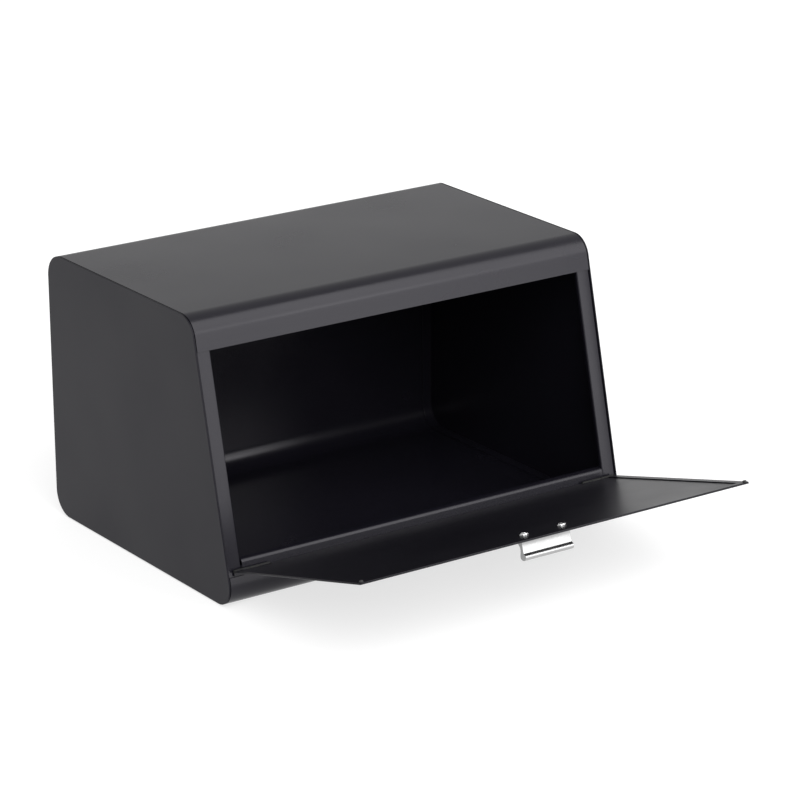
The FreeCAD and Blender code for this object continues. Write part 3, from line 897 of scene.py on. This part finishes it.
cut(skin, notches())
cut(flange, notches())
flap = opened(joined("flap_sheet", [skin, flange] + hems))
barrels = []
for side in (-1, 1):
    for a, b in ((FLAP_HALF, eye_start + EYE_GAP), (inner_start, inner_end)):
        x0, x1 = sorted((side * a, side * b))
        barrels.append(tube("barrel", x0, x1, BARREL_R, BORE_R, hinge_black))
flap = joined("flap_sheet", [flap] + barrels)
soften(flap, 0.25 * MM, steps=3, angle=40)
crisp(flap, 40)
print("flap:", len(flap.data.polygons), "faces")

# %% [markdown]
# ## Hinge eyes and pins
#
# Each eye is a short tube on a neck that comes through a slot from a leaf behind the strip. The
# pin runs through barrel, eye and barrel, with a head outside and a push-on ring inside.

# %% Hinge eyes
NECK_HALF = 0.5 * MM
LEAF = MM
eyes = {}
for label, side in (("left", -1), ("right", 1)):
    x0, x1 = sorted((side * eye_start, side * eye_end))
    eye = tube("eye", x0, x1, BARREL_R, BORE_R, hinge_black)
    neck = slope_block("neck", HINGE_RISE - NECK_HALF, HINGE_RISE + NECK_HALF, -SHEET - LEAF,
                       HINGE_OUT - BORE_R - 0.1 * MM, x0, x1)
    leaf = slope_block("leaf", low_straight, HINGE_RISE + NECK_HALF, -SHEET - LEAF, -SHEET, x0, x1)
    for piece in (neck, leaf):
        piece.data.materials.append(hinge_black)
    eyes[side] = joined(f"hinge_eye_{label}", [eye, neck, leaf])
    soften(eyes[side], 0.12 * MM)
    crisp(eyes[side])
print("hinge eyes:", [eye.name for eye in eyes.values()])

# %% Pins and rings
PIN_TAIL = 0.9 * MM
PIN_HEAD = 0.6 * MM
RING_T = 0.5 * MM
rods = []
for side in (-1, 1):
    for a, b, r in ((inner_end - PIN_TAIL, FLAP_HALF, PIN_R),
                    (FLAP_HALF, FLAP_HALF + PIN_HEAD, PIN_R + PIN_HEAD)):
        x0, x1 = sorted((side * a, side * b))
        rods.append(tube("rod", x0, x1, r, 0, hinge_black))
pins = joined("hinge_pins", rods)
soften(pins, 0.15 * MM, steps=3)
crisp(pins)
rings = []
for side in (-1, 1):
    x0, x1 = sorted((side * (inner_end - RING_T), side * inner_end))
    rings.append(tube("ring", x0, x1, BARREL_R, PIN_R, hinge_black))
clips = joined("pin_rings", rings)
soften(clips, 0.08 * MM)
crisp(clips)
print("hinge pieces:", pins.name, clips.name)

# %% [markdown]
# ## The edge pull
#
# The pull is sawn from an aluminium extrusion: a base that screws to the flap and flares into a
# grip, a waist that a finger fits behind, and a drop-shaped bead that leans forward. Both sides
# are smooth curves; only where the front curve meets the bead is there a crease.

# %% Edge pull section
PULL_LENGTH = 41.0 * MM
GRIP_S = FLAP_TOP - 21.5 * MM
SCREW_S = FLAP_TOP - 23.0 * MM
BASE_W = HINGE_OUT + FLAP_SHEET
REACH = 16.5 * MM
BEAD_HALF = 3.3 * MM
BEAD_R = 2.6 * MM
BEAD_LEAN = 0.6 * MM
BEAD_FROM, BEAD_SWEEP, BEAD_STEPS = 24, 258, 26
BASE_T = 1.5 * MM
BASE_HALF = 4.5 * MM
FLARE = 4.5 * MM
FLARE_FRONT, FLARE_BACK = 3.1 * MM, 2.0 * MM
WAIST = 2.8 * MM


def smooth_run(stops, steps=9):
    """Points of a rounded curve through the given stops, both ends included."""
    padded = [stops[0], *stops, stops[-1]]
    run = []
    for a, b, c, d in zip(padded, padded[1:], padded[2:], padded[3:]):
        for i in range(steps):
            t = i / steps
            run.append(tuple(0.5 * (2 * q + (r - p) * t + (2 * p - 5 * q + 4 * r - v) * t * t
                                    + (3 * q - p - 3 * r + v) * t ** 3)
                             for p, q, r, v in zip(a, b, c, d)))
    return run + [stops[-1]]


def pull_section():
    """(s, w) outline of the extrusion: s from the grip's middle, w out of the flap."""
    base = SCREW_S - GRIP_S
    bead = []
    for i in range(BEAD_STEPS + 1):
        a = math.radians(BEAD_FROM + i * BEAD_SWEEP / BEAD_STEPS)
        bead.append((BEAD_LEAN + BEAD_HALF * math.sin(a), REACH - BEAD_R - BEAD_R * math.cos(a)))
    low, high = base - BASE_HALF, base + BASE_HALF
    front_side = smooth_run([(high, BASE_T), (base + FLARE_FRONT, FLARE), (WAIST / 2, REACH / 2), bead[0]])
    back_side = smooth_run([bead[-1], (-WAIST / 2, REACH / 2), (base - FLARE_BACK, FLARE), (low, BASE_T)])
    return [(high, 0.0)] + front_side + bead[1:] + back_side[1:] + [(low, 0.0)]


print("grip", round(1000 * REACH, 1), "mm deep")

# %% Edge pull
section = pull_section()
points = [front(GRIP_S + s, BASE_W + w) for s, w in section]
pull = folded("edge_pull", points, [0.0] * len(points), -PULL_LENGTH / 2, PULL_LENGTH / 2,
              aluminium, steps=6)
opened(pull)
soften(pull, 0.18 * MM, steps=2, angle=50)
crisp(pull)
print("edge pull:", len(section), "points in its section")

# %% [markdown]
# ## Repeated small parts
#
# The two screws, four floor pads and two corner pads are each one small shape that repeats. A
# Geometry Nodes tree puts a copy on every point of a mesh, turns it by a seeded random angle, as a
# driver leaves a screw, and makes the copies real.

# %% Geometry tree: copies on points
def make_copies_tree():
    tree, start, end = group(
        "copies_on_points", "GeometryNodeTree",
        inputs=[("Points", "NodeSocketGeometry", None), ("Part", "NodeSocketObject", None),
                ("Turn", "NodeSocketFloat", 3.14), ("Seed", "NodeSocketInt", 4),
                ("Finish", "NodeSocketMaterial", None)],
        outputs=[("Geometry", "NodeSocketGeometry")])
    part = add(tree, "GeometryNodeObjectInfo", transform_space="ORIGINAL")
    turn = add(tree, "FunctionNodeRandomValue", data_type="FLOAT")
    angle = add(tree, "ShaderNodeCombineXYZ")
    copies = add(tree, "GeometryNodeInstanceOnPoints")
    real = add(tree, "GeometryNodeRealizeInstances")
    paint = add(tree, "GeometryNodeSetMaterial")
    tree.links.new(start.outputs["Part"], part.inputs["Object"])
    tree.links.new(start.outputs["Turn"], turn.inputs[3])
    tree.links.new(start.outputs["Seed"], turn.inputs["Seed"])
    tree.links.new(turn.outputs[1], angle.inputs["Z"])
    wire(tree,
         ((start, "Points"), (copies, "Points")), ((part, "Geometry"), (copies, "Instance")),
         ((angle, 0), (copies, "Rotation")), ((copies, 0), (real, 0)), ((real, 0), (paint, 0)),
         ((start, "Finish"), (paint, "Material")), ((paint, 0), (end, 0)))
    return tree


copies_tree = make_copies_tree()


def copies(name, part, places, material, turn=0.0, seed=4):
    """The part on every place; the part's own object goes."""
    mesh = bpy.data.meshes.new(name)
    mesh.from_pydata(places, [], [])
    obj = run_tree(name, mesh, copies_tree,
                   {"Part": part, "Turn": turn, "Seed": seed, "Finish": material})
    bpy.data.objects.remove(part)
    return obj


print("tree:", copies_tree.name)

# %% [markdown]
# A turned shape starts as half a section, given as (radius, height) pairs, and is spun round Z.
# The screw's cross is cut with two tapered blocks that stand across each other.

# %% Turned shapes
def turned(name, profile, steps=48):
    """A closed shape spun round Z from (radius, height) points."""
    shape = bmesh.new()
    rings = []
    for r, z in profile:
        spots = [(r * c, r * s, z) for c, s in circle(steps)] if r else [(0, 0, z)]
        rings.append([shape.verts.new(spot) for spot in spots])
    for a, b in zip(rings, rings[1:]):
        for i in range(steps):
            j = (i + 1) % steps
            if len(a) == 1:
                shape.faces.new((a[0], b[j], b[i]))
            elif len(b) == 1:
                shape.faces.new((a[i], a[j], b[0]))
            else:
                shape.faces.new((a[i], a[j], b[j], b[i]))
    return from_shape(name, shape)


def arc(r_mid, z_mid, radius, a0, a1, steps=6):
    """(r, z) points of an arc, angles in degrees from the r axis."""
    span = [math.radians(a0 + (a1 - a0) * i / steps) for i in range(steps + 1)]
    return [(r_mid + radius * math.cos(a), z_mid + radius * math.sin(a)) for a in span]


print("ready to turn")

# %% One screw
HEAD_R, HEAD_H = 3.4 * MM, 1.5 * MM
HEAD_ROUND, HEAD_LIP = 1.0 * MM, 0.1 * MM
CROWN_R, CROWN_DROP = 1.2 * MM, 0.02 * MM
SHANK_R, SHANK_POINT = 2.0 * MM, 0.3 * MM
SHANK_END = -(FLAP_SHEET + 3.5 * MM)
RECESS = ((HEAD_H - 1.1 * MM, 0.8 * MM, 0.26 * MM), (HEAD_H + 0.4 * MM, 1.9 * MM, 0.46 * MM))

profile = [(0, SHANK_END), (SHANK_R - SHANK_POINT, SHANK_END), (SHANK_R, SHANK_END + SHANK_POINT)]
profile += [(SHANK_R, 0), (HEAD_R - HEAD_LIP, 0), (HEAD_R, HEAD_LIP)]
profile += arc(HEAD_R - HEAD_ROUND, HEAD_H - HEAD_ROUND - 0.04 * MM, HEAD_ROUND, 0, 72)
profile += [(CROWN_R, HEAD_H - CROWN_DROP), (0, HEAD_H)]
screw = turned("screw_one", profile)


def wing(angle):
    """One tapered block of the cross recess, through the head's middle."""
    c, s = math.cos(angle), math.sin(angle)
    verts = []
    for z, reach, half in RECESS:
        corners = ((-reach, -half), (reach, -half), (reach, half), (-reach, half))
        verts += [(x * c - y * s, x * s + y * c, z) for x, y in corners]
    return block("wing", verts)


cut(screw, [wing(0.0), wing(math.pi / 2)])
print("screw:", len(screw.data.polygons), "faces")

# %% Both screws
SCREW_X = 16 * MM
screws = copies("pull_screws", screw, [(-SCREW_X, 0, 0), (SCREW_X, 0, 0)], chrome, turn=1.2, seed=3)


def onto_slope(obj, s, w, outward=True):
    """Moves a shape drawn round Z to the shut flap at (s, w), its top out of or into the slope."""
    top = Vector((0, OUT[0], OUT[1])) * (1 if outward else -1)
    side = Vector((1, 0, 0))
    turn = Matrix((side, top.cross(side), top)).transposed().to_4x4()
    obj.data.transform(Matrix.Translation((0, *front(s, w))) @ turn)
    obj.data.update()


onto_slope(screws, SCREW_S, HINGE_OUT, outward=False)
opened(screws)
crisp(screws, 35)
print("screws:", len(screws.data.polygons), "faces")

# %% Corner pads
PAD_R, PAD_T, PAD_ROUND = 1.5 * MM, 1.2 * MM, 0.6 * MM
PAD_INSET = 2.6 * MM
pad_profile = [(0, 0), (PAD_R, 0)]
pad_profile += arc(PAD_R - PAD_ROUND, PAD_T - PAD_ROUND, PAD_ROUND, 0, 90) + [(0, PAD_T)]
pad = turned("pad_one", pad_profile, steps=32)
pad_x = FLAP_HALF - PAD_INSET
pads = copies("corner_pads", pad, [(-pad_x, 0, 0), (pad_x, 0, 0)], rubber)
onto_slope(pads, FLAP_TOP - PAD_INSET, HINGE_OUT - FLAP_SHEET, outward=False)
opened(pads)
crisp(pads, 40)
print("corner pads:", len(pads.data.polygons), "faces")

# %% Floor pads
foot_low, foot_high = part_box("foot_front_right")
FOOT_R, FOOT_T = (foot_high[0] - foot_low[0]) / 2, foot_high[2] - foot_low[2]
FOOT_ROUND = 0.35 * MM
foot_profile = [(0, 0), (FOOT_R - FOOT_ROUND, 0)]
foot_profile += arc(FOOT_R - FOOT_ROUND, FOOT_ROUND, FOOT_ROUND, -90, 0) + [(FOOT_R, FOOT_T), (0, FOOT_T)]
foot = turned("foot_one", foot_profile, steps=40)
places = []
for node in ("foot_front_left", "foot_front_right", "foot_back_left", "foot_back_right"):
    low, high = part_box(node)
    places.append(((low[0] + high[0]) / 2, (low[1] + high[1]) / 2, 0))
feet = copies("floor_pads", foot, places, rubber)
point_outwards(feet)
crisp(feet, 40)
print("floor pads:", len(feet.data.polygons), "faces")

# %% [markdown]
# ## What moves with what
#
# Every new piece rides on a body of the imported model, names the finish it takes, and stands for
# the model's nodes whose place it takes.

# %% Rides, slots and replaced nodes
cast = [
    (wrapper, "body", "powder_coat_shell", ["wrapper_shell"]),
    (panels[-1], "body", "powder_coat_side", ["side_panel_left"]),
    (panels[1], "body", "powder_coat_side", ["side_panel_right"]),
    (stiles[-1], "body", "powder_coat_side", ["front_stile_left"]),
    (stiles[1], "body", "powder_coat_side", ["front_stile_right"]),
    (eyes[-1], "body", "hinge_steel", ["hinge_bracket_left"]),
    (eyes[1], "body", "hinge_steel", ["hinge_bracket_right"]),
    (feet, "body", "rubber", ["foot_front_left", "foot_front_right", "foot_back_left", "foot_back_right"]),
    (flap, "flap", "powder_coat_flap", ["flap_panel"]),
    (pull, "flap", "handle_aluminium", ["pull_handle"]),
    (screws, "flap", "screw_chrome", ["handle_screw_left", "handle_screw_right"]),
    (pads, "flap", "rubber", ["flap_bumper_left", "flap_bumper_right"]),
    (pins, "flap", "hinge_steel", ["hinge_pin_left", "hinge_pin_right"]),
    (clips, "flap", "hinge_steel", ["pin_clip_left", "pin_clip_right"]),
]
for piece, body, finish, nodes in cast:
    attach(piece, body)
    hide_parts(*nodes)
print("pieces:", len(cast), "replaced nodes:", sum(len(c[3]) for c in cast))
